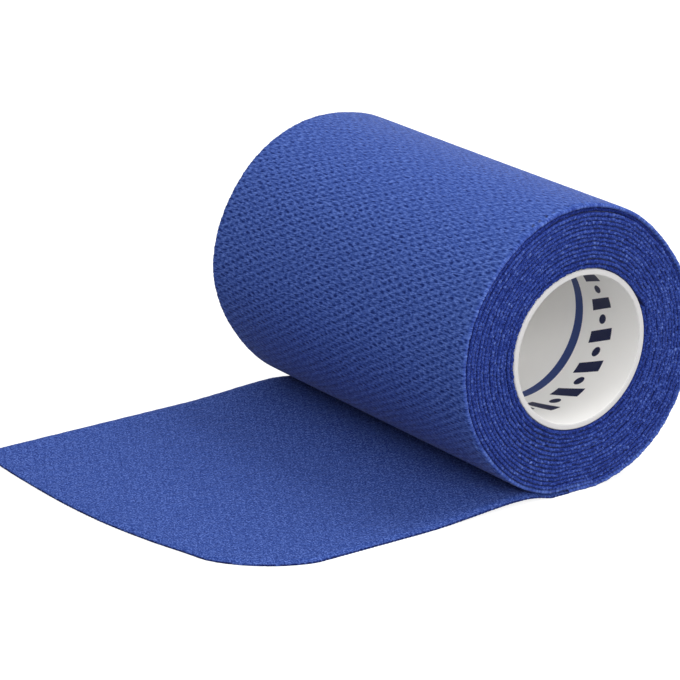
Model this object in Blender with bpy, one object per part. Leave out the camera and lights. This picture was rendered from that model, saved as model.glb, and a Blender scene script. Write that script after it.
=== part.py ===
"""Cohesive bandage roll: one strip of crepe cloth wound on a white core tube, its loose end laid out flat.

The roll lies on its side. The origin is on the surface it lies on, straight below the roll's axis and at the
middle of the strip's width. Y runs along the roll's axis, +Z is up, and the loose end runs towards -X.
All sizes are in metres unless a name ends in MM or DEG.
"""
from math import atan2, cos, hypot, pi, radians, sin

import bmesh
import bpy

MM = 0.001

# Driving dimensions
STRIP_WIDTH = 0.080           # an 8 cm bandage; also the roll's length along its axis
CORE_OUTER_RADIUS = 0.0154
CORE_WALL = 0.0011
CORE_RIM_ROUNDING = 0.0003
AXIS_HEIGHT = 0.02795         # the core's axis above the surface
PIECE_GAP = 0.0003            # clearance between separate pieces
SHEET_THICKNESS = 0.001       # the loose end: one layer of cloth
STEP_X = -0.002               # where the outer turn leaves the roll and becomes the loose end
ROLL_EDGE_ROUNDING = 0.0007   # the wound selvedges are soft at the roll's rim

# The outer turn, seen from the -Y end and measured from the core's axis. It starts under the roll, goes up the
# +X side and over the top, and is back under the roll one layer smaller. It is wound by hand tension, so it is
# fuller low on the +X side and drawn in at the upper left.
OUTER_TURN = (
    # angle_deg, radius_mm
    (-90, 28.2),
    (-45, 28.3),
    (0, 27.2),
    (40, 26.6),
    (90, 26.9),
    (135, 26.4),
    (170, 26.7),
    (215, 27.0),
    (245, 27.7),
    (270, 27.8),
)

# The loose end's cut edge: how far out it lies across the strip, measured from the near (-Y) selvedge.
CUT_EDGE = (
    # across_mm, x_mm
    (0, -74.6),
    (14, -76.0),
    (26, -78.8),
    (38, -80.8),
    (50, -81.6),
    (65, -81.5),
    (80, -80.8),
)
CORNER_LENGTH = 0.0155        # the near corner is cut round: its reach along X
CORNER_DEPTH = 0.014          # and across the strip
CORNER_POWER = 1.6            # 2 would be an ellipse; less is straighter

# The cloth springs up a little where it peels off the roll, and rests flat on both sides of that hump.
HUMP_START = -0.006
HUMP_END = -0.034
HUMP_LIFT = 0.0007

# Fineness of the meshes
TURN_SEGMENTS = 120
BORE_SEGMENTS = 96
SHEET_STATIONS = 30
SHEET_ROWS = 18
CORNER_ROWS = 9

CLOTH_BLUE = (0.040, 0.085, 0.330, 1.0)
LOOSE_END_BLUE = (0.048, 0.095, 0.350, 1.0)
CORE_WHITE = (0.780, 0.770, 0.740, 1.0)


def clear_scene():
    for item in list(bpy.data.objects):
        bpy.data.objects.remove(item, do_unlink=True)


def make_material(name, colour, roughness):
    material = bpy.data.materials.new(name)
    material.use_nodes = True
    shader = material.node_tree.nodes["Principled BSDF"]
    shader.inputs["Base Color"].default_value = colour
    shader.inputs["Roughness"].default_value = roughness
    shader.inputs["Metallic"].default_value = 0.0
    return material


def add_object(name, bm, material, sharp_angle_deg=35.0):
    """Turn a finished bmesh into a named object with its faces pointing out."""
    bmesh.ops.recalc_face_normals(bm, faces=bm.faces[:])
    mesh = bpy.data.meshes.new(name)
    bm.to_mesh(mesh)
    bm.free()
    mesh.materials.append(material)
    mesh.shade_smooth()
    mesh.set_sharp_from_angle(angle=radians(sharp_angle_deg))
    item = bpy.data.objects.new(name, mesh)
    bpy.context.scene.collection.objects.link(item)
    return item


def curve_through(table, at):
    """Smooth value at one place of a table of (place, value) rows: a Catmull-Rom curve through the rows."""
    places = [row[0] for row in table]
    values = [row[1] for row in table]
    last = len(table) - 1
    at = min(max(at, places[0]), places[last])
    i = max(k for k in range(last) if places[k] <= at)

    def slope(k):
        low, high = max(k - 1, 0), min(k + 1, last)
        return (values[high] - values[low]) / (places[high] - places[low])

    span = places[i + 1] - places[i]
    t = (at - places[i]) / span
    return ((2 * t**3 - 3 * t**2 + 1) * values[i] + (t**3 - 2 * t**2 + t) * span * slope(i)
            + (3 * t**2 - 2 * t**3) * values[i + 1] + (t**3 - t**2) * span * slope(i + 1))


def outer_turn_outline():
    """The roll's outline in X and Z, from the flat spot round to the step over the loose end."""
    points = [(STEP_X, 0.0)]
    for i in range(TURN_SEGMENTS + 1):
        angle_deg = -90 + 360 * i / TURN_SEGMENTS
        radius = curve_through(OUTER_TURN, angle_deg) * MM
        x = radius * cos(radians(angle_deg))
        z = AXIS_HEIGHT + radius * sin(radians(angle_deg))
        under_left = angle_deg > 180 and z < SHEET_THICKNESS + PIECE_GAP
        z = SHEET_THICKNESS + PIECE_GAP if under_left else max(z, 0.0)
        if under_left and x > STEP_X:
            break
        points.append((x, z))
    points.append((STEP_X, SHEET_THICKNESS + PIECE_GAP))
    return points


def ring_body(rings):
    """Close a list of equal loops, each a list of 3-D points, into one tube-like body."""
    bm = bmesh.new()
    loops = [[bm.verts.new(point) for point in ring] for ring in rings]
    count = len(loops[0])
    for k in range(len(loops)):
        here, there = loops[k], loops[(k + 1) % len(loops)]
        for i in range(count):
            j = (i + 1) % count
            bm.faces.new((here[i], here[j], there[j], there[i]))
    return bm


def pulled_in(outline, distance):
    """The outline drawn towards the core's axis by a distance."""
    drawn = []
    for x, z in outline:
        radius = hypot(x, z - AXIS_HEIGHT)
        share = (radius - distance) / radius
        drawn.append((x * share, AXIS_HEIGHT + (z - AXIS_HEIGHT) * share))
    return drawn


def make_wound_roll(material):
    """The wound strip as one solid: outer turn, soft rims, flat ends and the bore that holds the core."""
    outline = outer_turn_outline()
    bore_radius = CORE_OUTER_RADIUS + PIECE_GAP
    half = STRIP_WIDTH / 2
    soft = ROLL_EDGE_ROUNDING

    bore = []
    for x, z in outline:
        angle = atan2(z - AXIS_HEIGHT, x)
        bore.append((bore_radius * cos(angle), AXIS_HEIGHT + bore_radius * sin(angle)))
    # the two points of the step share one angle, so the bore takes their places a little apart
    spread = pi / TURN_SEGMENTS
    for index, side in ((0, 0.5), (-1, -0.5)):
        angle = atan2(-AXIS_HEIGHT, STEP_X) + side * spread
        bore[index] = (bore_radius * cos(angle), AXIS_HEIGHT + bore_radius * sin(angle))

    stations = (
        (bore, -half),
        (pulled_in(outline, soft), -half),
        (pulled_in(outline, 0.3 * soft), -half + 0.3 * soft),
        (outline, -half + soft),
        (outline, half - soft),
        (pulled_in(outline, 0.3 * soft), half - 0.3 * soft),
        (pulled_in(outline, soft), half),
        (bore, half),
    )
    rings = [[(x, y, z) for x, z in loop] for loop, y in stations]
    return add_object("wound_roll", ring_body(rings), material)


def make_core_tube(material):
    """A plain tube as long as the strip is wide, its rims slightly rounded."""
    half = STRIP_WIDTH / 2
    outer, inner = CORE_OUTER_RADIUS, CORE_OUTER_RADIUS - CORE_WALL
    soft = CORE_RIM_ROUNDING
    profile = (
        # radius, y
        (inner, -half + soft),
        (inner + soft, -half),
        (outer - soft, -half),
        (outer, -half + soft),
        (outer, half - soft),
        (outer - soft, half),
        (inner + soft, half),
        (inner, half - soft),
    )
    rings = []
    for radius, y in profile:
        turn = [2 * pi * i / BORE_SEGMENTS for i in range(BORE_SEGMENTS)]
        rings.append([(radius * cos(a), y, AXIS_HEIGHT + radius * sin(a)) for a in turn])
    return add_object("core_tube", ring_body(rings), material)


def cut_edge_x(across):
    """X of the cut edge at a distance across the strip from the near selvedge, with the round corner."""
    x = curve_through(CUT_EDGE, across / MM) * MM
    if across >= CORNER_DEPTH:
        return x
    down = 1 - across / CORNER_DEPTH
    return x + CORNER_LENGTH * (1 - (1 - down**CORNER_POWER)**(1 / CORNER_POWER))


def hump(x):
    """How far the cloth is lifted off the surface at a place along it."""
    along = (x - HUMP_START) / (HUMP_END - HUMP_START)
    if not 0 < along < 1:
        return 0.0
    return HUMP_LIFT * sin(pi * along) ** 2


def make_loose_end(material):
    """The strip's end as a thin sheet that lies on the surface and stops just short of the roll's step."""
    rows = [CORNER_DEPTH * (i / CORNER_ROWS) ** 2 for i in range(CORNER_ROWS)]
    rest = STRIP_WIDTH - CORNER_DEPTH
    rows += [CORNER_DEPTH + rest * i / SHEET_ROWS for i in range(SHEET_ROWS + 1)]
    start_x = STEP_X - PIECE_GAP

    bm = bmesh.new()
    lower, upper = [], []
    for across in rows:
        end_x = cut_edge_x(across)
        y = across - STRIP_WIDTH / 2
        xs = [start_x + (end_x - start_x) * i / SHEET_STATIONS for i in range(SHEET_STATIONS + 1)]
        lower.append([bm.verts.new((x, y, hump(x))) for x in xs])
        upper.append([bm.verts.new((x, y, hump(x) + SHEET_THICKNESS)) for x in xs])

    for side in (lower, upper):
        for a, b in zip(side, side[1:]):
            for i in range(SHEET_STATIONS):
                bm.faces.new((a[i], a[i + 1], b[i + 1], b[i]))
    for low, high in ((lower[0], upper[0]), (lower[-1], upper[-1])):
        for i in range(SHEET_STATIONS):
            bm.faces.new((low[i], low[i + 1], high[i + 1], high[i]))
    for i in (0, -1):
        for k in range(len(rows) - 1):
            bm.faces.new((lower[k][i], lower[k + 1][i], upper[k + 1][i], upper[k][i]))
    return add_object("loose_end", bm, material)


clear_scene()
make_wound_roll(make_material("wound_cloth", CLOTH_BLUE, 0.9))
make_loose_end(make_material("loose_cloth", LOOSE_END_BLUE, 0.9))
make_core_tube(make_material("core_white", CORE_WHITE, 0.45))
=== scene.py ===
"""Looks of the cohesive bandage roll: wound crepe turns, the outer turn, the loose end and the core tube.

Everything is in metres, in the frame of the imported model: Y along the roll's axis, +Z up, the loose end
towards -X. Angles round the roll are seen from its near end, at -Y: 0 is on the +X side, 90 at the top.
"""

from math import cos, pi, radians, sin

import bpy
import numpy as np
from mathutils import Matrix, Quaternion, Vector


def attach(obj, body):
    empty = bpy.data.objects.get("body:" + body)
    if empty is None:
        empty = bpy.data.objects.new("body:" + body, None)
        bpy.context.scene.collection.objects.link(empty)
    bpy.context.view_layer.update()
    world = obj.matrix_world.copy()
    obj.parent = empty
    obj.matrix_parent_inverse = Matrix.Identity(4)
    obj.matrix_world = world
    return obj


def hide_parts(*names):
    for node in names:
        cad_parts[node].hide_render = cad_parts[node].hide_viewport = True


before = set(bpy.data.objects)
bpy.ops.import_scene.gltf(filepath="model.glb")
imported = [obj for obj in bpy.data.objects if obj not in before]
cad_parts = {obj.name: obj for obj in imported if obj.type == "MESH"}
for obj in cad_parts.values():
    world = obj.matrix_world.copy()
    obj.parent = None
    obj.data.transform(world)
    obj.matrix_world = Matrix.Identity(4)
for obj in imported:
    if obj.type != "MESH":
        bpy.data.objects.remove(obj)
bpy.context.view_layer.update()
MM = 0.001


# ------------------------------------------------------------------------------
# The place where it stands: a pale matt surface under a wide pale sky. One big soft light hangs overhead, a
# little to the +X side, so that the roll shades its own loose end, and another stands in front of the near
# end. The camera looks along the roll from the left of its near end.

CAMERA_AZIMUTH = radians(-36.082)
CAMERA_ELEVATION = radians(19.532)
CAMERA_ROLL = radians(0.191)
CAMERA_PLACE = (-0.45439, -0.58869, 0.28198)
CAMERA_LENS = 217.5
SURFACE_SIZE = 8.0
SURFACE_GREY = (0.40, 0.40, 0.40, 1)
SURFACE_GLOW = (0.82, 0.82, 0.82, 1)    # seen by the camera only: keeps the surface near white
SKY_AT_HORIZON = 0.25           # the sky's brightness level with the surface
SKY_OVERHEAD = 0.95             # and straight above
SOFTBOX_SIZE = 0.50
SOFTBOX_DISTANCE = 0.95
OVERHEAD_LEAN = radians(28)
TOWARDS_OVERHEAD = (sin(OVERHEAD_LEAN), -0.12, cos(OVERHEAD_LEAN))
TOWARDS_FRONT = (-0.25, -1.0, 0.45)
OVERHEAD_POWER = 4.2
FRONT_POWER = 5.5


def set_up(name, data, place, turn):
    """Stand a camera or a light in the scene."""
    item = bpy.data.objects.new(name, data)
    item.location = place
    item.rotation_mode = "QUATERNION"
    item.rotation_quaternion = turn
    bpy.context.scene.collection.objects.link(item)
    return item


def place_camera():
    back = Vector((sin(CAMERA_AZIMUTH) * cos(CAMERA_ELEVATION),
                   -cos(CAMERA_AZIMUTH) * cos(CAMERA_ELEVATION),
                   sin(CAMERA_ELEVATION)))
    data = bpy.data.cameras.new("camera")
    data.lens = CAMERA_LENS
    data.sensor_width = 36.0
    data.clip_start = 0.01
    data.clip_end = 30.0
    turn = back.to_track_quat("Z", "Y") @ Quaternion((0, 0, 1), CAMERA_ROLL)
    bpy.context.scene.camera = set_up("camera", data, CAMERA_PLACE, turn)


def hang_softbox(name, towards_light, power):
    towards_light = Vector(towards_light).normalized()
    data = bpy.data.lights.new(name, "AREA")
    data.shape = "SQUARE"
    data.size = SOFTBOX_SIZE
    data.energy = power
    set_up(name, data, towards_light * SOFTBOX_DISTANCE, towards_light.to_track_quat("Z", "Y"))


def add_node(tree, kind, inputs=(), **settings):
    """Add a shader node, set its properties and feed its inputs with values or other nodes' outputs."""
    node = tree.nodes.new("ShaderNode" + kind)
    for name, value in settings.items():
        setattr(node, name, value)
    for key, value in dict(inputs).items():
        if isinstance(value, bpy.types.NodeSocket):
            tree.links.new(value, node.inputs[key])
        else:
            node.inputs[key].default_value = value
    return node


def calculate(tree, operation, *values):
    return add_node(tree, "Math", dict(enumerate(values)), operation=operation).outputs[0]


def new_material(name, values):
    """A material whose shader has these values; returns it with its tree and shader."""
    material = bpy.data.materials.new(name)
    material.use_nodes = True
    shader = material.node_tree.nodes["Principled BSDF"]
    for label, value in values.items():
        shader.inputs[label].default_value = value
    return material, material.node_tree, shader


def lay_surface():
    half = SURFACE_SIZE / 2
    corners = [(-half, -half, 0), (half, -half, 0), (half, half, 0), (-half, half, 0)]
    mesh = bpy.data.meshes.new("surface")
    mesh.from_pydata(corners, [], [(0, 1, 2, 3)])
    material, tree, shader = new_material("pale_surface", {
        "Base Color": SURFACE_GREY,
        "Roughness": 0.9,
        "Specular IOR Level": 0.0,
        "Emission Color": SURFACE_GLOW,
    })
    seen = add_node(tree, "LightPath").outputs["Is Camera Ray"]
    tree.links.new(seen, shader.inputs["Emission Strength"])
    mesh.materials.append(material)
    surface = bpy.data.objects.new("surface", mesh)
    bpy.context.scene.collection.objects.link(surface)


def paint_sky():
    """A sky that is brighter overhead than at the horizon, and plain white to the camera."""
    world = bpy.data.worlds.new("pale_sky")
    world.use_nodes = True
    tree = world.node_tree
    direction = add_node(tree, "TexCoord").outputs["Generated"]
    height = add_node(tree, "SeparateXYZ", {0: direction}).outputs["Z"]
    brightness = add_node(tree, "MapRange",
                          {"Value": height, "To Min": SKY_AT_HORIZON, "To Max": SKY_OVERHEAD}).outputs[0]
    seen = add_node(tree, "LightPath").outputs["Is Camera Ray"]
    background = tree.nodes["Background"]
    background.inputs["Color"].default_value = (1, 1, 1, 1)
    tree.links.new(calculate(tree, "MAXIMUM", brightness, seen), background.inputs["Strength"])
    bpy.context.scene.world = world


place_camera()
hang_softbox("overhead_softbox", TOWARDS_OVERHEAD, OVERHEAD_POWER)
hang_softbox("front_softbox", TOWARDS_FRONT, FRONT_POWER)
lay_surface()
paint_sky()
bpy.context.scene.view_settings.view_transform = "Standard"


# ------------------------------------------------------------------------------
# The wound turns: one long strip of self-adhering crepe cloth, a plain weave of cotton and elastane, wound
# on the core under hand tension. Only its two selvedges show, layer by layer, where the weft yarn turns
# back round the last warp yarns in small loops.

STRIP_WIDTH = 80 * MM
CLOTH_THICKNESS = 0.76 * MM
LAYER_PITCH = 0.78 * MM         # from one layer to the next
CORE_RADIUS = 15.4 * MM
CORE_CLEARANCE = 0.1 * MM
AXIS_HEIGHT = 27.95 * MM
START_RADIUS = 28.2 * MM        # the outer face where the roll touches down
STEP_X = -2 * MM                # where the loose end becomes the outer turn
PASSING_GAP = 0.07 * MM         # between the loose end and the outer turn that comes down over it
CLIMB_START = 0.97              # share of the innermost turn that lies on the core
CLIMB_FADE_TURNS = 5            # turns over which the climb over the strip's inner end evens out
LAST_TURN_DEG = 360 * (START_RADIUS - CORE_RADIUS - CORE_CLEARANCE - CLOTH_THICKNESS) / LAYER_PITCH
OUTER_TURN_DEG = 368            # the outer turn ends where the next one has covered it
WINDING_STEP_DEG = 0.5

# The outer turn's outline: fuller low on the +X side, drawn in at the upper left.
OUTER_TURN = (
    # angle_deg, radius_mm
    (-90, 28.2),
    (-45, 28.3),
    (0, 27.2),
    (40, 26.6),
    (90, 26.9),
    (135, 26.4),
    (170, 26.7),
    (215, 27.0),
    (245, 27.7),
    (270, 27.8),
)

# Wound by hand, the roll isn't quite a cylinder: radius added to the outer turn at its two ends.
NEAR_END_EXTRA = (
    # angle_deg, radius_mm
    (-90, 0.0),
    (-70, 0.1),
    (-45, 0.35),
    (-20, 0.2),
    (0, 0.0),
    (40, -0.2),
    (65, 0.55),
    (90, 0.95),
    (135, 0.95),
    (170, 0.3),
    (215, -0.05),
    (245, 0.1),
    (270, 0.0),
)
FAR_END_EXTRA = (
    # angle_deg, radius_mm
    (-90, 0.0),
    (0, 0.2),
    (40, 0.1),
    (60, -0.05),
    (80, -0.85),
    (100, -0.75),
    (120, -0.4),
    (140, -0.2),
    (160, -0.15),
    (185, 0.2),
    (215, -0.5),
    (245, -0.25),
    (270, 0.0),
)

LOOP_PITCH = 0.8333 * MM        # one weft loop along the selvedge
LOOP_REACH = 0.32 * MM          # how far a loop stands out of the selvedge
LOWEST_LOOP = 0.72              # height of the lowest loops as a share of the highest
LOOP_CHANCES = 8192             # loops along the strip before their random numbers repeat
STATIONS_PER_LOOP = 4
NEAR_SEED = 11
FAR_SEED = 23

# Rounding of a selvedge, as angles from the cloth's outer face round to its inner face.
SELVEDGE_ANGLES = np.radians((90, 54, 18, -18, -54, -90))
SELVEDGE_DEPTH = 0.26 * MM      # how far in the rounding starts
FULL_DEPTH = 1.0 * MM           # how far in the cloth has its full thickness
SELVEDGE_SWELL = (0.97, 0.09)   # its thickness between the loops as a share, and what a loop adds
SELVEDGE_STRAY = (
    # amount_mm, shortest_mm, longest_mm, seed
    (0.13, 9, 60, 1),
    (0.07, 1.5, 5, 2),
)

# The loops lean over the layers beside them: little on the outer turn, more where the layers are pressed
# together, which is most on the +X side, and more towards the core.
LOOP_LEAN = 0.34 * MM
PRESSED_ANGLE_DEG = 10
OUTER_SPREAD = 0.25
LEAST_SPREAD = 0.4
DEEP_SPREAD = 0.8
DEEP_START_DEG = 1450
DEEP_REACH_DEG = 1400

SUNK_DEPTH = 0.55 * MM          # the layer under the outer turn lies deeper at the near end's top
SUNK_TURN_DEG = 515
SUNK_REACH_DEG = 70
SUNK_PAINTED_SHADE = 0.9                # painted shade: how much darker its loops are there
CORE_SHADE = 0.4                # how much darker the loops of the innermost layers are
CORE_SHADE_PARTS = 5            # they darken over the innermost of so many parts of the winding
LOOP_BRIGHTNESS = (0.55, 0.45)  # painted highlight on the darkest loops, and what chance adds to others

MAP_MARGIN = 0.06               # share of a row of the bake map that is left free above and below
PATCH_SHIFT = 31.7              # reads the patches' noise away from the grain's
PATCH_LOW = 0.36                # the noise's values at which a patch starts and is full
PATCH_HIGH = 0.64
TIP_LIGHT = 0.17                # painted highlight of the selvedge's rounding, and of the loops on it
LOOP_LIGHT = 0.30
LOOP_PATCHES = 0.46             # what the fibres' patches add to a loop
SELVEDGE_GRAIN = 1.15
# the colours run from painted shade, nearly black, between loops and layers to a painted highlight on the
# loops
SELVEDGE_COLOURS = (
    # share of light, colour
    (0.00, (0.008, 0.016, 0.115, 1)),
    (0.32, (0.020, 0.041, 0.230, 1)),
    (0.66, (0.042, 0.080, 0.340, 1)),
    (1.00, (0.120, 0.185, 0.500, 1)),
)


def curve_through(table, places):
    """Values at some places of a smooth Catmull-Rom curve through a table's (place, value) rows."""
    knots, values = np.array(table, float).T
    slopes = np.gradient(values, knots)
    slopes[1:-1] = (values[2:] - values[:-2]) / (knots[2:] - knots[:-2])
    places = np.clip(places, knots[0], knots[-1])
    i = np.clip(np.searchsorted(knots, places, side="right") - 1, 0, len(knots) - 2)
    span = knots[i + 1] - knots[i]
    t = (places - knots[i]) / span
    return ((2 * t**3 - 3 * t**2 + 1) * values[i] + (t**3 - 2 * t**2 + t) * span * slopes[i]
            + (3 * t**2 - 2 * t**3) * values[i + 1] + (t**3 - t**2) * span * slopes[i + 1])


def wander(along, across, lengths, seed, waves=7, peak=3.2):
    """A smooth uneven value of about -1 to 1 over the cloth, from waves between the two given lengths."""
    random = np.random.default_rng(seed)
    total = np.zeros(np.broadcast(along, across).shape)
    for _ in range(waves):
        length = random.uniform(*lengths)
        heading = random.uniform(0, 2 * pi)
        shift = random.uniform(0, 2 * pi)
        total += np.sin(2 * pi * (along * cos(heading) + across * sin(heading)) / length + shift)
    return total / peak


def strayed(distance, along, across, rows, seed=0):
    """A distance on the cloth after it has strayed by the waves of a table's rows."""
    for amount, shortest, longest, number in rows:
        waves = wander(along, across, (shortest * MM, longest * MM), seed + number)
        distance = distance + amount * MM * waves
    return distance


def wound_radius(turn_deg):
    """Radius of the cloth's outer face at turn_deg, how far in it is: 0 where the roll touches down."""
    angle = -90 + turn_deg % 360
    clearance = np.where(angle > 180, CLOTH_THICKNESS + PASSING_GAP, 0.0)
    below = np.maximum(-np.sin(np.radians(angle)), 1e-3)
    outline = np.minimum(curve_through(OUTER_TURN, angle) * MM, (AXIS_HEIGHT - clearance) / below)
    even_outline = START_RADIUS - LAYER_PITCH * (angle + 90) / 360
    even = START_RADIUS - LAYER_PITCH * turn_deg / 360
    inward = turn_deg / LAST_TURN_DEG

    # the innermost turn lies on the core all the way round, then climbs over the strip's own cut end
    from_core = (LAST_TURN_DEG - turn_deg) / 360
    share = from_core % 1
    rest = CLIMB_START * (1 - share) / (1 - CLIMB_START)
    climb = LAYER_PITCH * np.where(share < CLIMB_START, share, rest)
    return even + (1 - inward) * (outline - even_outline) - np.exp(-from_core / CLIMB_FADE_TURNS) * climb


def uneven_extra(turn_deg, across):
    """Radius that the uneven winding adds at places across the strip, which fades out towards the core."""
    angle = -90 + turn_deg % 360
    far_share = across / STRIP_WIDTH + 0.5
    near_extra = curve_through(NEAR_END_EXTRA, angle)
    far_extra = curve_through(FAR_END_EXTRA, angle)
    extra = (1 - far_share) * near_extra + far_share * far_extra
    return extra * MM * (1 - turn_deg / LAST_TURN_DEG)


def winding():
    """Finely spaced places along the winding: the turn in degrees and the distance along the strip."""
    turn_deg = np.arange(0, LAST_TURN_DEG, WINDING_STEP_DEG)
    radius = wound_radius(turn_deg)
    x = radius * np.cos(np.radians(turn_deg - 90))
    z = radius * np.sin(np.radians(turn_deg - 90))
    return turn_deg, np.concatenate(([0], np.cumsum(np.hypot(np.diff(x), np.diff(z)))))


def strip_line(along):
    """Place and outward direction (x, z) of the cloth's outer face along the strip, and its turn."""
    turns, distances = winding()
    turn_deg = np.interp(along, distances, turns)
    angle = np.radians(turn_deg - 90)
    outward = np.stack((np.cos(angle), np.sin(angle)), -1)
    place = np.array((0, AXIS_HEIGHT)) + wound_radius(turn_deg)[:, None] * outward
    flat = along < 0
    place[flat] = np.stack((along[flat], np.zeros(flat.sum())), -1)
    outward[flat] = (0, -1)
    place[:, 1] = np.maximum(place[:, 1], 0)
    return place, outward, turn_deg


def loops(along, seed):
    """Height of the weft loops, 0 to 1, at each place, and a random number for the loop that it is in."""
    number = np.floor(along / LOOP_PITCH).astype(int)
    share = along / LOOP_PITCH - number
    chance = np.random.default_rng(seed).random(LOOP_CHANCES)[number % LOOP_CHANCES]
    arch = np.sqrt(np.maximum(1 - (2 * share - 1) ** 2, 0))
    return arch * (LOWEST_LOOP + (1 - LOWEST_LOOP) * chance), chance


def selvedge(along, turn_deg, side, seed, set_back):
    """One selvedge at each station: its points' places across and through the cloth from its middle, their
    nearness to the tip, and the painted highlight on them."""
    height, chance = loops(along, seed)
    edge = strayed(set_back, along, 0.0, SELVEDGE_STRAY, seed)
    pressed = 0.5 + 0.5 * np.cos(np.radians(turn_deg - 90 - PRESSED_ANGLE_DEG))
    deep = np.clip((turn_deg - DEEP_START_DEG) / DEEP_REACH_DEG, 0, 1)
    spread = np.where(turn_deg < OUTER_TURN_DEG, OUTER_SPREAD,
                      LEAST_SPREAD + np.maximum(pressed, DEEP_SPREAD * deep))
    lean = LOOP_LEAN * spread * (chance - 0.5)
    half = CLOTH_THICKNESS / 2
    swell = SELVEDGE_SWELL[0] + SELVEDGE_SWELL[1] * height
    depths = [edge + FULL_DEPTH]
    through = [half + 0 * edge]
    for angle in SELVEDGE_ANGLES:
        depths.append(edge + SELVEDGE_DEPTH - (SELVEDGE_DEPTH + LOOP_REACH * height) * cos(angle))
        through.append(lean * cos(angle) + half * sin(angle) * swell)
    depths.append(edge + FULL_DEPTH)
    through.append(-half + 0 * edge)
    tip = np.concatenate(([0.0], np.cos(SELVEDGE_ANGLES), [0.0]))
    # painted highlight on the loops' tops, strongest at the selvedge's tip
    light = tip * (height * (LOOP_BRIGHTNESS[0] + LOOP_BRIGHTNESS[1] * chance))[:, None]
    across = side * (STRIP_WIDTH / 2 - np.stack(depths, -1))
    return across, np.stack(through, -1), np.broadcast_to(tip, light.shape), light


def both_selvedges(along, turn_deg, set_back, brightness):
    """Both selvedges as one ring: over the near one from outside to inside, then back over the far one."""
    across, through, tip, light = selvedge(along, turn_deg, -1, NEAR_SEED, set_back)
    # the near selvedge's tips and loops take the given painted shade
    near = (across, through, tip * brightness[:, None], light * brightness[:, None])
    far = selvedge(along, turn_deg, 1, FAR_SEED, 0.0)
    return [np.hstack((first, second[:, ::-1])) for first, second in zip(near, far)]


def lay_on_strip(place, outward, turn_deg, across, through):
    """Vertices of a ring at each station, from its points' places across and through the cloth."""
    raised = through - CLOTH_THICKNESS / 2 + uneven_extra(turn_deg[:, None], across)
    flat = place[:, None, :] + raised[..., None] * outward[:, None, :]
    return np.stack((flat[..., 0], across, np.maximum(flat[..., 1], 0)), -1)


def quad_corners(stations, points):
    """Station and point at the four corners of each quad between neighbouring closed rings."""
    station, point = np.mgrid[0:stations - 1, 0:points]
    return (np.stack((station, station, station + 1, station + 1), -1),
            np.stack((point, point + 1, point + 1, point), -1))


def add_body(name, vertices, faces, material, corner_places, attributes):
    """A mesh piece from arrays, with its bake map and its point attributes."""
    mesh = bpy.data.meshes.new(name)
    mesh.from_pydata(vertices.reshape(-1, 3), [], faces)
    bake_map = mesh.uv_layers.new(name="OFBake")
    bake_map.uv.foreach_set("vector", np.clip(corner_places, 0, 1).astype(np.float32).ravel())
    for label, values in attributes.items():
        kind, field = ("FLOAT_VECTOR", "vector") if values.ndim == 3 else ("FLOAT", "value")
        item = mesh.attributes.new(label, kind, "POINT")
        item.data.foreach_set(field, values.astype(np.float32).ravel())
    mesh.materials.append(material)
    mesh.shade_smooth()
    mesh.validate()
    piece = bpy.data.objects.new(name, mesh)
    bpy.context.scene.collection.objects.link(piece)
    return piece


def make_wound_turns(name, start, end, material):
    """One length of the wound strip: closed rings across the strip, four to each weft loop."""
    along = np.append(np.arange(start, end, LOOP_PITCH / STATIONS_PER_LOOP), end)
    place, outward, turn_deg = strip_line(along)
    sunk = SUNK_DEPTH * np.exp(-((turn_deg - SUNK_TURN_DEG) / SUNK_REACH_DEG) ** 2)
    towards_core = np.clip(CORE_SHADE_PARTS * turn_deg / LAST_TURN_DEG - (CORE_SHADE_PARTS - 1), 0, 1)
    # painted shade on the sunk layer's loops under the outer turn, and loops darker towards the core
    shaded = 1 - SUNK_PAINTED_SHADE * sunk / SUNK_DEPTH - CORE_SHADE * towards_core
    across, through, tip, light = both_selvedges(along, turn_deg, sunk, shaded)
    vertices = lay_on_strip(place, outward, turn_deg, across, through)
    stations, points = across.shape
    half = points // 2

    corner_station, corner_point = quad_corners(stations, points)
    faces = (corner_station * points + corner_point % points).reshape(-1, 4)
    i = np.arange(half - 1)
    cap = np.stack((i, i + 1, points - 2 - i, points - 1 - i), -1)
    faces = np.vstack((faces, cap[:, ::-1], cap + (stations - 1) * points))

    # the bake map: one row for each turn and selvedge, and a last row for the faces between the layers
    station = corner_station[..., 0]
    point = corner_point[..., 0]
    turn = np.floor(turn_deg / 360)
    first_turn = turn.min()
    rows = 2 * (turn.max() - first_turn + 1) + 1
    u = turn_deg[corner_station] / 360 - turn[station][..., None]
    between_layers = point % half == half - 1
    row = np.where(between_layers, rows - 1, 2 * (turn[station] - first_turn) + (point >= half))
    within = np.where(between_layers[..., None], (0.5, 0.8, 0.8, 0.5), corner_point % half / (half - 1))
    v = (row[..., None] + MAP_MARGIN + (1 - 2 * MAP_MARGIN) * within) / rows
    corner_places = np.stack((u, v), -1).reshape(-1, 2)
    corner_places = np.vstack((corner_places, np.full((8 * len(cap), 2), 0.5 / rows)))

    attributes = {"tip": tip, "loop_light": light}
    piece = add_body(name, vertices, faces, material, corner_places, attributes)
    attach(piece, "root")


def multiply(tree, value, *factors):
    for factor in factors:
        value = calculate(tree, "MULTIPLY", value, factor)
    return value


def multiply_add(tree, value, factor, extra):
    return calculate(tree, "MULTIPLY_ADD", value, factor, extra)


def vector_math(tree, operation, *values):
    return add_node(tree, "VectorMath", dict(enumerate(values)), operation=operation).outputs[0]


def scale_vector(tree, vector, size):
    return add_node(tree, "VectorMath", {0: vector, "Scale": size}, operation="SCALE").outputs[0]


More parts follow.
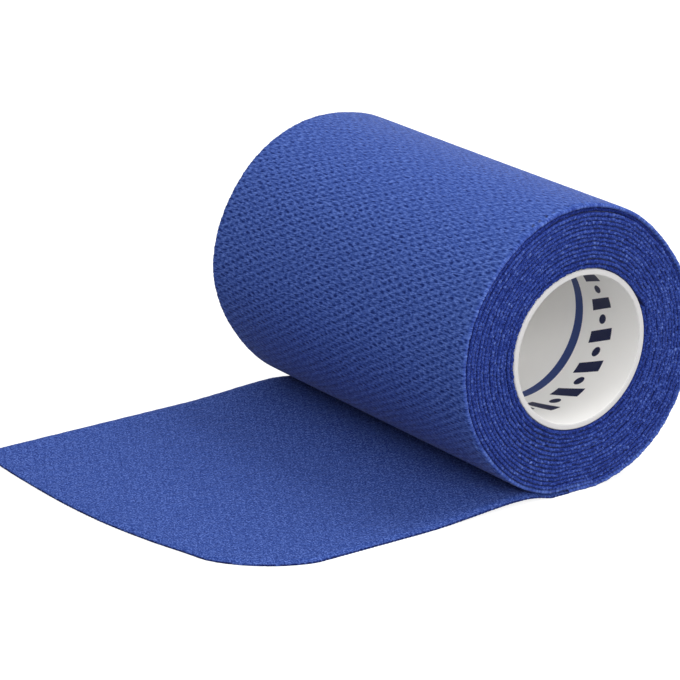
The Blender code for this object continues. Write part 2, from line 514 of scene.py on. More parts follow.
def slope(tree, value, low, high, first=0.0, last=1.0, **settings):
    """The first value up to the low one, the last value from the high one, and a slope between them."""
    ends = {"Value": value, "From Min": low, "From Max": high, "To Min": first, "To Max": last}
    return add_node(tree, "MapRange", ends, clamp=True, **settings).outputs[0]


def mix_colours(tree, share, first, second):
    """A mix of two colours. The node's sockets 6, 7 and 2 are the ones for colours."""
    return add_node(tree, "Mix", {0: share, 6: first, 7: second}, data_type="RGBA").outputs[2]


def colour_ramp(tree, share, stops):
    """Colours along a share of 0 to 1, from rows of (share, colour)."""
    node = add_node(tree, "ValToRGB", {"Fac": share})
    for number, (place, colour) in enumerate(stops):
        stop = node.color_ramp.elements[number] if number < 2 else node.color_ramp.elements.new(place)
        stop.position = place
        stop.color = colour
    return node.outputs[0]


def read_attribute(tree, name, output="Fac"):
    return add_node(tree, "Attribute", attribute_name=name).outputs[output]


def new_group(name, inputs, outputs):
    """An empty shader node group with named inputs (name, kind, default) and named float outputs."""
    tree = bpy.data.node_groups.new(name, "ShaderNodeTree")
    for label, kind, default in inputs:
        tree.interface.new_socket(label, in_out="INPUT", socket_type=kind).default_value = default
    for label in outputs:
        tree.interface.new_socket(label, in_out="OUTPUT", socket_type="NodeSocketFloat")
    return tree, tree.nodes.new("NodeGroupInput").outputs, tree.nodes.new("NodeGroupOutput").inputs


def make_fibre_grain():
    """Loose fibres of a spun yarn: a fine grain about 0, and larger patches of 0 to 1."""
    tree, given, result = new_group("fibre_grain", (
        ("Place", "NodeSocketVector", (0, 0, 0)),
        ("Grain Size", "NodeSocketFloat", 0.3 * MM),
        ("Patch Size", "NodeSocketFloat", 1.2 * MM),
    ), ("Grain", "Patches"))

    def noise(size, detail, shift):
        scaled = scale_vector(tree, given["Place"], calculate(tree, "DIVIDE", 1.0, size))
        moved = vector_math(tree, "ADD", scaled, (shift, shift, shift))
        return add_node(tree, "TexNoise", {
            "Vector": moved, "Scale": 1.0, "Detail": detail, "Roughness": 0.6}).outputs[0]

    grain = noise(given["Grain Size"], 2.0, 0.0)
    patches = noise(given["Patch Size"], 1.0, PATCH_SHIFT)
    tree.links.new(multiply_add(tree, grain, 2.0, -1.0), result["Grain"])
    tree.links.new(slope(tree, patches, PATCH_LOW, PATCH_HIGH), result["Patches"])
    return tree


def new_cloth(name, sheen=0.12):
    """A matt cloth with a little sheen from its fuzz; returns its material, tree and shader."""
    return new_material(name, {
        "Roughness": 0.85,
        "Specular IOR Level": 0.05,
        "Sheen Weight": sheen,
        "Sheen Roughness": 0.30,
        "Sheen Tint": (0.90, 0.92, 1.0, 1),
    })


def finish_cloth(tree, shader, colour, height, strength, distance):
    """Give a cloth its colour and, by a bump, the fine relief of its yarns."""
    bump = add_node(tree, "Bump", {"Height": height, "Strength": strength, "Distance": distance})
    tree.links.new(colour, shader.inputs["Base Color"])
    tree.links.new(bump.outputs[0], shader.inputs["Normal"])


def make_selvedge_cloth():
    """Royal blue weft loops: painted highlight on top, painted shade, nearly black, between loops and
    layers.
    """
    material, tree, shader = new_cloth("selvedge_cloth")
    fibres = add_node(tree, "Group", {
        "Place": add_node(tree, "TexCoord").outputs["Object"],
        "Grain Size": 0.24 * MM,
        "Patch Size": 1.1 * MM,
    }, node_tree=fibre_grain).outputs
    # painted highlight on the selvedge's rounding and loops, painted shade where they are low
    strength = multiply_add(tree, fibres["Patches"], LOOP_PATCHES, LOOP_LIGHT)
    on_loops = multiply(tree, read_attribute(tree, "loop_light"), strength)
    smooth = multiply_add(tree, read_attribute(tree, "tip"), TIP_LIGHT, on_loops)
    light = multiply_add(tree, fibres["Grain"], SELVEDGE_GRAIN, smooth)
    colour = colour_ramp(tree, light, SELVEDGE_COLOURS)
    finish_cloth(tree, shader, colour, fibres["Grain"], strength=0.5, distance=0.10 * MM)
    return material


fibre_grain = make_fibre_grain()
selvedge_cloth = make_selvedge_cloth()
turn_table, distance_table = winding()
outer_turn_end = float(np.interp(OUTER_TURN_DEG, turn_table, distance_table))
strip_end = float(distance_table[-1])
halfway = outer_turn_end + 0.5 * (strip_end - outer_turn_end)
make_wound_turns("wound_turns_outside", outer_turn_end, halfway, selvedge_cloth)
make_wound_turns("wound_turns_inside", halfway, strip_end, selvedge_cloth)


# ------------------------------------------------------------------------------
# The outer turn: the same strip once round the outside, where its face shows. The crepe is a plain weave
# whose weft yarns lie along the roll's axis in fine ribs, with a small dark pit at every second crossing.

RIB_PITCH = LOOP_PITCH          # one weft rib along the strip
RIB_HEIGHT = 0.05 * MM
STATIONS_PER_RIB = 3
PIT_PITCH = 1.46 * MM           # pits across the strip; neighbouring ribs are half a repeat apart
PIT_DEPTH = 0.11 * MM
PIT_STRENGTH = (0.65, 0.55)     # of the shallowest pits, and what chance adds to others
PIT_CHANCES = (512, 128)        # pits along and across before their random numbers repeat
PIT_SEED = 17
FACE_STEP = PIT_PITCH * 2 / 5
FACE_MARGIN = 0.4 * MM          # from the face's outermost points to the selvedges' rings
SELVEDGE_BAND = 1.2 * MM        # the relief fades out over this width near the selvedge
FADE_START = 0.6                # and is gone at this share of it from the edge
SET_BACK = 0.30 * MM            # the near selvedge lies back from the top of the roll on
SET_BACK_TURN_DEG = 120
SET_BACK_REACH_DEG = 60
FACE_MAP_START = 0.14           # heights in the bake map
RIM_MAP_END = 0.13

# How far the yarns stray along and across the strip.
STRAY_ALONG = (
    # amount_mm, shortest_mm, longest_mm, seed
    (0.16, 6, 25, 5),
    (0.05, 1.8, 5, 15),
)
STRAY_ACROSS = (
    (0.22, 6, 25, 6),
    (0.12, 1.8, 5, 16),
)

# The fine weave in the material. Gaps and floats are short dashes, which start and are full at these
# heights of the waves along and across the strip.
FINE_STRAY_SIZE = 0.8 * MM
FINE_STRAY = (1.6, 5.0, 0.0)    # its strength along and across the strip
DASH_ALONG = (0.45, 1.0)
DASH_ACROSS = (0.0, 0.65)
DASH_STRENGTH = (0.70, 0.5)     # of the faintest dashes, and what chance adds to others
RIB_LINES = 0.65                # how strongly the gaps line up along the ribs,
CROSS_LINES = 0.35              # across them
SLANT_LINES = 0.34              # and along one slant, as in a twill
FLOAT_HEIGHT = 0.5              # of a float, and of the fibres' grain, where a gap is 1 deep
GRAIN_HEIGHT = 0.6

FIBRE_SLANT = radians(10)       # the fibres lie slantwise in the twisted weft yarns
FIBRE_DRAW = (1.0, 0.20, 1.0)   # and are drawn out five times along them
YARN_STRENGTH = 0.45            # of the faintest floats and gaps
YARN_PATCHES = 0.6              # what the fibres' patches add to it
# The floats get a painted highlight, the gaps and their lines painted shade.
FLOATS = 0.32                   # what floats, gaps and their lines add to the face's light
GAPS = -0.30
LINES = -0.20
FACE_LIGHT = 0.53
FACE_GRAIN = 1.15
EDGE_GRAIN = 1.1
TOP_START = 46 * MM             # over the top of the roll light falls straight into the gaps,
TOP_END = 53 * MM
TOP_CONTRAST = 0.6              # so the weave shows less there
BAND_START = 0.35               # nearness to the selvedge's tip from which its plain band shows
BAND_END = 0.95
FACE_COLOURS = (
    # share of light, colour
    (0.00, (0.010, 0.024, 0.150, 1)),
    (0.50, (0.041, 0.084, 0.336, 1)),
    (1.00, (0.115, 0.195, 0.570, 1)),
)
FACE_SELVEDGE_COLOURS = (
    (0.00, (0.020, 0.042, 0.240, 1)),
    (0.55, (0.058, 0.104, 0.390, 1)),
    (1.00, (0.125, 0.205, 0.560, 1)),
)


def weave_place(along, across):
    """Weave coordinates of the cloth: its distances, a little uneven as hand tension leaves them."""
    weave_along = strayed(along, along, across, STRAY_ALONG)
    weave_across = strayed(across, along, across, STRAY_ACROSS)
    return np.stack((weave_along, weave_across, np.zeros(weave_along.shape)), -1)


def weave_relief(along, across):
    """Height of the face's ribs and pits at weave coordinates."""
    lattice = np.cos(pi * across / PIT_PITCH) * np.cos(pi * along / RIB_PITCH)
    cell_along = np.round(along / RIB_PITCH).astype(int)
    cell_across = np.round(across / PIT_PITCH).astype(int)
    chances = np.random.default_rng(PIT_SEED).random(PIT_CHANCES)
    chance = chances[cell_along % PIT_CHANCES[0], cell_across % PIT_CHANCES[1]]
    pits = np.clip(lattice, 0, 1) * (PIT_STRENGTH[0] + PIT_STRENGTH[1] * chance)
    ribs = 0.5 - 0.5 * np.cos(2 * pi * along / RIB_PITCH)
    return RIB_HEIGHT * ribs - PIT_DEPTH * pits


def make_crepe_weave():
    """A plain crepe weave as masks: gaps for painted shade, floats between them for a painted highlight,
    lines of gaps, and a height.
    """
    tree, given, result = new_group("crepe_weave", (
        ("Weave Place", "NodeSocketVector", (0, 0, 0)),
        ("Rib Pitch", "NodeSocketFloat", RIB_PITCH),
        ("Pit Pitch", "NodeSocketFloat", PIT_PITCH),
        ("Unevenness", "NodeSocketFloat", 0.2 * MM),
    ), ("Gaps", "Floats", "Lines", "Height"))
    half = (0.5, 0.5, 0.5)

    # every yarn strays a little, so the pattern is drawn about by a fine noise
    noise = add_node(tree, "TexNoise",
                     {"Vector": given["Weave Place"], "Scale": 1 / FINE_STRAY_SIZE, "Detail": 1.0})
    stray = vector_math(tree, "SUBTRACT", noise.outputs["Color"], half)
    stray = vector_math(tree, "MULTIPLY", scale_vector(tree, stray, given["Unevenness"]), FINE_STRAY)
    place = vector_math(tree, "ADD", stray, given["Weave Place"])
    x, y = add_node(tree, "SeparateXYZ", {0: place}).outputs[:2]

    def wave(operation, value, pitch):
        share = calculate(tree, "DIVIDE", value, pitch)
        return calculate(tree, operation, multiply(tree, share, pi))

    def dash(value, ends):
        return slope(tree, calculate(tree, "ABSOLUTE", value), *ends, interpolation_type="SMOOTHSTEP")

    def lines_of(value, strength):
        return multiply_add(tree, multiply(tree, value, value), 2 * strength, -strength)

    # each dash has its own strength, and gaps and floats take turns like the fields of a chessboard
    along = wave("COSINE", x, given["Rib Pitch"])
    across = wave("COSINE", y, given["Pit Pitch"])
    pitches = add_node(tree, "CombineXYZ", {0: given["Rib Pitch"], 1: given["Pit Pitch"], 2: 1.0})
    cell = vector_math(tree, "ADD", vector_math(tree, "DIVIDE", place, pitches.outputs[0]), half)
    cell = vector_math(tree, "FLOOR", cell)
    chance = add_node(tree, "TexWhiteNoise", {"Vector": cell}).outputs["Value"]
    strength = multiply_add(tree, chance, DASH_STRENGTH[1], DASH_STRENGTH[0])
    dashes = multiply(tree, dash(along, DASH_ALONG), dash(across, DASH_ACROSS), strength)
    is_gap = calculate(tree, "GREATER_THAN", multiply(tree, along, across), 0.0)
    gaps = multiply(tree, dashes, is_gap)
    floats = calculate(tree, "SUBTRACT", dashes, gaps)

    straight = calculate(tree, "ADD", lines_of(along, RIB_LINES), lines_of(across, CROSS_LINES))
    slant = multiply(tree, wave("SINE", x, given["Rib Pitch"]), wave("SINE", y, given["Pit Pitch"]))
    sunk = multiply(tree, gaps, -1.0)
    tree.links.new(multiply_add(tree, slant, SLANT_LINES, straight), result["Lines"])
    tree.links.new(gaps, result["Gaps"])
    tree.links.new(floats, result["Floats"])
    tree.links.new(multiply_add(tree, floats, FLOAT_HEIGHT, sunk), result["Height"])
    return tree


def make_face_cloth():
    """The crepe's outer face: blue ribs, paler fibres, gaps and their lines in painted shade, floats with a
    painted highlight, and a plain pale band at its selvedges.
    """
    material, tree, shader = new_cloth("face_cloth")
    place = read_attribute(tree, "weave", "Vector")
    weave = add_node(tree, "Group", {"Weave Place": place, "Unevenness": 0.20 * MM},
                     node_tree=crepe_weave).outputs
    turned = add_node(tree, "VectorRotate", {"Vector": place, "Angle": FIBRE_SLANT},
                      rotation_type="Z_AXIS").outputs[0]
    fibres = add_node(tree, "Group", {
        "Place": vector_math(tree, "MULTIPLY", turned, FIBRE_DRAW),
        "Grain Size": 0.23 * MM,
        "Patch Size": 0.8 * MM,
    }, node_tree=fibre_grain).outputs

    # painted highlight on the floats, painted shade in the gaps and along their lines
    strength = multiply_add(tree, fibres["Patches"], YARN_PATCHES, YARN_STRENGTH)
    floats = multiply(tree, weave["Floats"], strength, FLOATS)
    gaps = multiply(tree, weave["Gaps"], strength, GAPS)
    lines = multiply(tree, weave["Lines"], LINES)
    weave_shade_and_highlight = calculate(tree, "ADD", calculate(tree, "ADD", floats, gaps), lines)
    object_place = add_node(tree, "TexCoord").outputs["Object"]
    height = add_node(tree, "SeparateXYZ", {0: object_place}).outputs[2]
    contrast = slope(tree, height, TOP_START, TOP_END, 1.0, TOP_CONTRAST, interpolation_type="SMOOTHSTEP")
    weave_shade_and_highlight = multiply(tree, weave_shade_and_highlight, contrast)
    plain = multiply_add(tree, fibres["Grain"], FACE_GRAIN, FACE_LIGHT)
    face = colour_ramp(tree, calculate(tree, "ADD", weave_shade_and_highlight, plain), FACE_COLOURS)

    # the plain band at the selvedges, with a painted highlight on its loops
    edge_light = multiply_add(tree, fibres["Grain"], EDGE_GRAIN, read_attribute(tree, "loop_light"))
    edge = colour_ramp(tree, edge_light, FACE_SELVEDGE_COLOURS)
    on_tip = slope(tree, read_attribute(tree, "tip"), BAND_START, BAND_END)
    relief = multiply_add(tree, fibres["Grain"], GRAIN_HEIGHT, weave["Height"])
    colour = mix_colours(tree, on_tip, face, edge)
    finish_cloth(tree, shader, colour, relief, strength=0.65, distance=0.11 * MM)
    return material


def make_outer_turn(material):
    """The outer turn: closed rings across the strip, three to each rib."""
    along = np.append(np.arange(STEP_X, outer_turn_end, RIB_PITCH / STATIONS_PER_RIB), outer_turn_end)
    place, outward, turn_deg = strip_line(along)
    set_back = SET_BACK * np.clip((turn_deg - SET_BACK_TURN_DEG) / SET_BACK_REACH_DEG, 0, 1)
    across, through, tip, light = both_selvedges(along, turn_deg, set_back, np.ones(len(along)))
    rim_points = across.shape[1]

    # the face between the two selvedges, raised and sunk by the weave
    limit = STRIP_WIDTH / 2 - FULL_DEPTH - FACE_MARGIN
    columns = np.linspace(limit, -limit, int(2 * limit / FACE_STEP) + 1)
    face_across = np.broadcast_to(columns, (len(along), len(columns)))
    across = np.hstack((across, face_across))
    weave = weave_place(along[:, None], across)
    fade = np.clip((STRIP_WIDTH / 2 - np.abs(face_across)) / SELVEDGE_BAND - FADE_START, 0, 1)
    relief = fade * weave_relief(weave[:, rim_points:, 0], weave[:, rim_points:, 1])
    through = np.hstack((through, CLOTH_THICKNESS / 2 + relief))
    nothing = np.zeros_like(face_across)
    vertices = lay_on_strip(place, outward, turn_deg, across, through)
    stations, points = across.shape

    corner_station, corner_point = quad_corners(stations, points)
    start_cap = list(range(points))
    end_cap = [(stations - 1) * points + i for i in range(points)][::-1]
    faces = (corner_station * points + corner_point % points).reshape(-1, 4).tolist() + [start_cap, end_cap]

    # the bake map: the face takes most of it, the selvedges and the inner face the rest
    u = (along[corner_station] - along[0]) / (along[-1] - along[0])
    on_face = corner_point[..., :1] >= rim_points - 1
    over_face = (corner_point - rim_points + 1) / (points - rim_points + 1)
    v = np.where(on_face, FACE_MAP_START + (1 - FACE_MAP_START) * over_face,
                 RIM_MAP_END * corner_point / rim_points)
    corner_places = np.stack((u, v), -1).reshape(-1, 2)
    corner_places = np.vstack((corner_places, np.full((2 * points, 2), 0.001)))

    piece = add_body("outer_turn", vertices, faces, material, corner_places, {
        "weave": weave,
        "tip": np.hstack((tip, nothing)),
        "loop_light": np.hstack((light, nothing)),
    })
    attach(piece, "root")
    return piece


crepe_weave = make_crepe_weave()
face_cloth = make_face_cloth()
outer_turn = make_outer_turn(face_cloth)
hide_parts("wound_roll")


# ------------------------------------------------------------------------------
# The loose end: the last 80 mm of the strip, inner face up, lying on the surface. It springs up a little
# where it leaves the roll. Its end is cut by hand, with one round corner, and the cut shows as a thin
# serrated line of painted shade.

LOOSE_END_THICKNESS = 0.72 * MM
LOOSE_END_LENGTH = 79 * MM
LOOSE_END_GAP = 0.02 * MM       # to the outer turn's start
PEEL_RADIUS = 27.75 * MM        # the roll's underside, which the cloth peels off
PEEL_GAP = 0.12 * MM
SPRING_START = 10 * MM          # distances from the touch-down line between which it springs back flat
SPRING_END = 36 * MM
MIDDLE_LIFT = 0.7 * MM
NEAR_LIFT = 0.6 * MM            # more at the two selvedges, which are pulled tighter
FAR_LIFT = 0.5 * MM
LIFT_REACH = 16 * MM
FAR_CURL = 0.35 * MM            # the far selvedge curls up all along
CURL_REACH = 5 * MM
CORNER_LENGTH = 15.5 * MM
CORNER_DEPTH = 14 * MM
CORNER_POWER = 1.6
CORNER_ROWS = 44
SHEET_STEP = 0.42 * MM
SHEET_GRAIN = (
    # amount_mm, shortest_mm, longest_mm, seed
    (0.035, 1.6, 5, 8),
)
SERRATION = 0.22 * MM
SERRATION_REACH = 0.6 * MM
CUT_SEED = 31
EDGE_THINNING = 0.30 * MM       # the cloth is thinner along its edges
EDGE_WIDTH = 0.8 * MM
EDGE_ROUNDING = 0.10 * MM
EDGE_STATIONS = (0.60 * MM, 0.34 * MM, 0.14 * MM)   # of the points nearest to an edge
RIM_DARKNESS = (0.20, 0.75)     # how far the rim takes the cut's painted shade, and what its darker dashes add
DARK_DASH_LEVEL = 0.62               # loops higher than this give the rim darker dashes
DARK_SEED = 41
UPPER_MAP_HEIGHT = 0.62         # heights in the bake map
LOWER_MAP_HEIGHT = 0.32
LOWER_MAP_START = 0.64
SIDE_MAP = (0.975, 0.995, 0.995, 0.975)

CUT_EDGE = (
    # across_mm, x_mm
    (0, -74.0),
    (14, -75.4),
    (26, -78.2),
    (38, -80.2),
    (50, -81.0),
    (65, -80.9),
    (80, -80.2),
)

INNER_LIGHT = 0.52              # light of the inner face, and what grain, patches and weave add to it
INNER_GRAIN = 1.35
INNER_PATCHES = 0.20
# the weave adds a trace of painted shade in its gaps and painted highlight on its floats
INNER_WEAVE = 0.10
INNER_RELIEF = 0.25
INNER_DRAW = (1.0, 0.75, 1.0)
INNER_COLOURS = (
    # share of light, colour
    (0.00, (0.012, 0.026, 0.160, 1)),
    (0.50, (0.033, 0.070, 0.278, 1)),
    (1.00, (0.110, 0.180, 0.530, 1)),
)
# painted shade on the sheet's cut edge and along its rim
CUT_PAINTED_SHADE = (0.006, 0.011, 0.085, 1)


def cut_edge_x(across):
    """X of the cut edge at distances across the strip from the near selvedge, with the round corner."""
    down = np.clip(1 - across / CORNER_DEPTH, 0, 1)
    corner = CORNER_LENGTH * (1 - (1 - down**CORNER_POWER) ** (1 / CORNER_POWER))
    return curve_through(CUT_EDGE, across / MM) * MM + corner


def hump(x, across):
    """How far the cloth springs up off the surface beside the roll, at distances from the near selvedge."""
    lift = (MIDDLE_LIFT + NEAR_LIFT * np.exp(-across / LIFT_REACH)
            + FAR_LIFT * np.exp(-(STRIP_WIDTH - across) / LIFT_REACH))
    share = np.clip((-x - SPRING_START) / (SPRING_END - SPRING_START), 0, 1)
    spring = lift * (1 - share ** 2 * (3 - 2 * share))
    below_roll = AXIS_HEIGHT - np.sqrt(PEEL_RADIUS ** 2 - np.minimum(-x, PEEL_RADIUS) ** 2)
    room = np.maximum(below_roll - LOOSE_END_THICKNESS - PEEL_GAP, 0)
    curl = FAR_CURL * share * np.exp(-(STRIP_WIDTH - across) / CURL_REACH)
    return spring * room / np.sqrt(spring ** 2 + room ** 2 + 1e-12) + curl


def make_inner_cloth():
    """The crepe's inner face: smoother, with a fine grain, dark flecks and only a trace of the weave."""
    material, tree, shader = new_cloth("inner_cloth", sheen=0.05)
    place = read_attribute(tree, "weave", "Vector")
    weave = add_node(tree, "Group", {"Weave Place": place, "Unevenness": 0.35 * MM},
                     node_tree=crepe_weave).outputs
    fibres = add_node(tree, "Group", {
        "Place": vector_math(tree, "MULTIPLY", place, INNER_DRAW),
        "Grain Size": 0.30 * MM,
        "Patch Size": 0.75 * MM,
    }, node_tree=fibre_grain).outputs

    patches = multiply_add(tree, fibres["Patches"], INNER_PATCHES, -INNER_PATCHES / 2)
    flecks = multiply_add(tree, fibres["Grain"], INNER_GRAIN, INNER_LIGHT)
    light = calculate(tree, "ADD", calculate(tree, "ADD", flecks, patches),
                      multiply(tree, weave["Height"], INNER_WEAVE))
    # painted shade on the rim, from the tip attribute
    colour = mix_colours(tree, read_attribute(tree, "tip"), colour_ramp(tree, light, INNER_COLOURS),
                         CUT_PAINTED_SHADE)
    relief = multiply_add(tree, weave["Height"], INNER_RELIEF, fibres["Grain"])
    finish_cloth(tree, shader, colour, relief, strength=0.6, distance=0.10 * MM)
    return material


def make_loose_end(material):
    """The sheet: rows of points along the strip, closer at the round corner and along the edges."""
    corner_rows = CORNER_DEPTH * (np.arange(CORNER_ROWS) / CORNER_ROWS) ** 2
    plain_rows = np.linspace(CORNER_DEPTH, STRIP_WIDTH - EDGE_STATIONS[0],
                             int((STRIP_WIDTH - CORNER_DEPTH) / SHEET_STEP))
    outermost = np.array(EDGE_STATIONS[1:] + (0.0,))
    rows = np.concatenate((corner_rows, plain_rows, STRIP_WIDTH - outermost))
    start_x = STEP_X - LOOSE_END_GAP
    ends = cut_edge_x(rows)
    lengths = start_x - ends
    even = np.linspace(0, 1, int(LOOSE_END_LENGTH / SHEET_STEP))
    inner = (lengths[:, None] - EDGE_STATIONS[0]) * even
    x = start_x - np.hstack((inner, lengths[:, None] - outermost))
    y = np.broadcast_to(rows[:, None] - STRIP_WIDTH / 2, x.shape).copy()
    across = np.broadcast_to(rows[:, None], x.shape)

    # the cloth is thinner towards its edges, and they are serrated by the yarns' ends and loops
    slant = np.gradient(ends, rows)[:, None]
    from_cut = (x - ends[:, None]) / np.sqrt(1 + slant ** 2)
    from_edge = np.minimum(from_cut, np.minimum(across, STRIP_WIDTH - across))
    near_edge = np.exp(-(from_edge / EDGE_WIDTH) ** 2)
    teeth = SERRATION * (loops(x, NEAR_SEED)[0] - 0.5)
    y -= teeth * np.clip(1 - across / SERRATION_REACH, 0, 1)
    y += teeth * np.clip(1 - (STRIP_WIDTH - across) / SERRATION_REACH, 0, 1)
    cut_teeth = SERRATION * (loops(across, CUT_SEED)[0] - 0.5)
    x = x - cut_teeth * np.clip(1 - from_cut / SERRATION_REACH, 0, 1)

    rim = np.zeros(x.shape, bool)
    rim[0] = rim[-1] = rim[:, -1] = True
    lift = hump(x, across)
    grain = strayed(0.0, x, y, SHEET_GRAIN)
    top = LOOSE_END_THICKNESS - EDGE_THINNING * near_edge + lift + np.where(rim, -EDGE_ROUNDING, grain)
    bottom = lift + np.where(rim, EDGE_ROUNDING, 0)
    vertices = np.stack((np.stack((x, y, top), -1), np.stack((x, y, bottom), -1)))

    size = x.size
    count_across, count_along = x.shape
    row, column = np.mgrid[0:count_across - 1, 0:count_along - 1]
    low = row * count_along + column
    quads = np.stack((low, low + 1, low + count_along + 1, low + count_along), -1).reshape(-1, 4)
    border = np.concatenate((np.arange(count_along),
                             np.arange(1, count_across) * count_along + count_along - 1,
                             (count_across - 1) * count_along + np.arange(count_along - 2, -1, -1),
                             np.arange(count_across - 2, 0, -1) * count_along))
    after = np.roll(border, -1)
    sides = np.stack((border, border + size, after + size, after), -1)
    faces = np.vstack((quads[:, ::-1], quads + size, sides[:, ::-1]))

    # the bake map: the upper face at its bottom, then the underside, and the rim as a strip at its top
    flat_places = np.stack(((x / x.min()).ravel(), ((y + STRIP_WIDTH / 2) / STRIP_WIDTH).ravel()), -1)
    upper = flat_places[quads[:, ::-1]] * (1, UPPER_MAP_HEIGHT)
    lower = flat_places[quads] * (1, LOWER_MAP_HEIGHT) + (0, LOWER_MAP_START)
    start_u = np.arange(len(border)) / len(border)
    end_u = start_u + 1 / len(border)
    side_u = np.stack((start_u, start_u, end_u, end_u), -1)
    side_v = np.broadcast_to(SIDE_MAP, side_u.shape)
    side_places = np.stack((side_u, side_v), -1)[:, ::-1]
    corner_places = np.concatenate([places.reshape(-1, 2) for places in (upper, lower, side_places)])

    weave = weave_place(x, y)
    # painted shade along the rim, with darker dashes
    tip = rim * (RIM_DARKNESS[0] + RIM_DARKNESS[1] * (loops(x + y, DARK_SEED)[0] > DARK_DASH_LEVEL))
    piece = add_body("loose_end_cloth", vertices, faces, material, corner_places, {
        "weave": np.concatenate((weave, weave)),
        "tip": np.concatenate((tip, tip)),
    })
    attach(piece, "root")
    return piece


inner_cloth = make_inner_cloth()
loose_end = make_loose_end(inner_cloth)
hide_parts("loose_end")


# ------------------------------------------------------------------------------
# The core: a thin white tube, cut to the strip's width, with a satin wall. A plain pattern in two blues is
# printed inside it: a row of slanted bars and dots, and a slate ring behind them.

CORE_WALL = 1.1 * MM
CORE_RIM_ROUNDING = 0.22 * MM
CORE_SEGMENTS = 192
CORE_STATIONS = 9               # rings along the wall, with the two at its rims
RIM_STEPS = 6

CORE_WHITE = (0.92, 0.91, 0.89, 1)
# painted shade on the core's cut rim
RIM_PAINTED_SHADE = (0.60, 0.59, 0.59, 1)
CLOUD_SCALE = 260.0
CLOUD_SHADE = 0.94              # of the core's white in its faint clouds
CLOUD_STRENGTH = 0.25
PRINT_NAVY = (0.012, 0.016, 0.060, 1)
PRINT_SLATE = (0.032, 0.058, 0.200, 1)
MOTIF_COUNT = 14                # a slanted bar and a dot, so many times round the wall
BAR_START = 8.0 * MM            # depths from the near rim
BAR_END = 13.6 * MM
BAR_SHARE = 0.36
BAR_SLANT = 0.40                # sideways along the wall for each distance in
DOT_RADIUS = 0.95 * MM
RING_START = 16.6 * MM
RING_END = 18.8 * MM


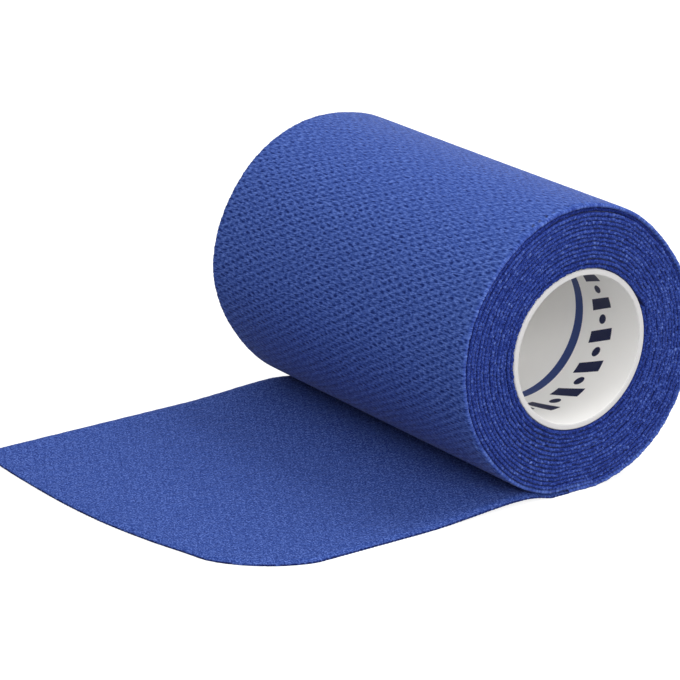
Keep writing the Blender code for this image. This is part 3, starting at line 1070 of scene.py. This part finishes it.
def make_core_plastic():
    """Satin white, with painted shade on the cut rim, and the print where a point lies on the inner wall."""
    material, tree, shader = new_material("core_white", {"Roughness": 0.5, "Specular IOR Level": 0.3})

    def distance(first, second):
        squares = multiply_add(tree, first, first, multiply(tree, second, second))
        return calculate(tree, "SQRT", squares)

    def between(value, low, high):
        return multiply(tree, calculate(tree, "GREATER_THAN", value, low),
                        calculate(tree, "LESS_THAN", value, high))

    object_place = add_node(tree, "TexCoord").outputs["Object"]
    x, y, z = add_node(tree, "SeparateXYZ", {0: object_place}).outputs
    depth = calculate(tree, "ADD", y, STRIP_WIDTH / 2)
    height = calculate(tree, "SUBTRACT", z, AXIS_HEIGHT)
    angle = calculate(tree, "ARCTAN2", height, x)
    inside = calculate(tree, "LESS_THAN", distance(x, height), CORE_RADIUS - CORE_WALL / 2)
    on_rim = calculate(tree, "LESS_THAN", depth, 0.5 * CORE_RIM_ROUNDING)
    clouds = add_node(tree, "TexNoise",
                      {"Vector": object_place, "Scale": CLOUD_SCALE, "Detail": 2.0}).outputs[0]
    shaded = tuple(CLOUD_SHADE * value for value in CORE_WHITE[:3]) + (1,)
    white = mix_colours(tree, multiply(tree, clouds, CLOUD_STRENGTH), CORE_WHITE, shaded)
    white = mix_colours(tree, on_rim, white, RIM_PAINTED_SHADE)

    # where a point lies in its own motif: as a share of the way round, and in real distances from the dot
    wall_radius = CORE_RADIUS - CORE_WALL
    pitch = 2 * pi * wall_radius / MOTIF_COUNT
    turned = multiply_add(tree, depth, BAR_SLANT / wall_radius, angle)
    share = calculate(tree, "FRACT", multiply(tree, turned, MOTIF_COUNT / (2 * pi)))
    sideways = multiply(tree, calculate(tree, "SUBTRACT", share, 0.5 + BAR_SHARE / 2), pitch)
    inwards = calculate(tree, "SUBTRACT", depth, (BAR_START + BAR_END) / 2)
    bars = multiply(tree, calculate(tree, "LESS_THAN", share, BAR_SHARE), between(depth, BAR_START, BAR_END))
    dots = calculate(tree, "LESS_THAN", distance(sideways, inwards), DOT_RADIUS)
    navy = multiply(tree, calculate(tree, "MAXIMUM", bars, dots), inside)
    slate = multiply(tree, between(depth, RING_START, RING_END), inside)
    colour = mix_colours(tree, slate, white, PRINT_SLATE)
    colour = mix_colours(tree, navy, colour, PRINT_NAVY)
    tree.links.new(colour, shader.inputs["Base Color"])
    return material


def make_core(material):
    """The tube's wall as one closed profile turned round the axis."""
    half = STRIP_WIDTH / 2
    soft = CORE_RIM_ROUNDING
    outer = CORE_RADIUS
    inner = CORE_RADIUS - CORE_WALL
    bends = np.linspace(0, pi / 2, RIM_STEPS)
    depth_steps = np.linspace(-half + soft, half - soft, CORE_STATIONS)[1:-1]
    profile = [(outer - soft + soft * sin(b), -half + soft - soft * cos(b)) for b in bends]
    profile += [(outer, y) for y in depth_steps]
    profile += [(outer - soft + soft * cos(b), half - soft + soft * sin(b)) for b in bends]
    profile += [(inner + soft - soft * sin(b), half - soft + soft * cos(b)) for b in bends]
    profile += [(inner, y) for y in depth_steps[::-1]]
    profile += [(inner + soft - soft * cos(b), -half + soft - soft * sin(b)) for b in bends]
    radius, y = np.array(profile).T
    points = len(profile)

    angle = (2 * pi * np.arange(CORE_SEGMENTS) / CORE_SEGMENTS)[:, None]
    vertices = np.stack((radius * np.cos(angle), np.broadcast_to(y, (CORE_SEGMENTS, points)),
                         AXIS_HEIGHT + radius * np.sin(angle)), -1)
    corner_segment, corner_point = quad_corners(CORE_SEGMENTS + 1, points)
    faces = (corner_segment % CORE_SEGMENTS * points + corner_point % points).reshape(-1, 4)
    lengths = np.concatenate(([0], np.cumsum(np.hypot(np.diff(radius), np.diff(y)))))
    lengths = np.append(lengths / (lengths[-1] + CORE_WALL), 1.0)
    corner_places = np.stack((corner_segment / CORE_SEGMENTS, lengths[corner_point]), -1).reshape(-1, 2)
    piece = add_body("core_wall", vertices, faces, material, corner_places, {})
    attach(piece, "root")
    return piece


core_wall = make_core(make_core_plastic())
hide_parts("core_tube")
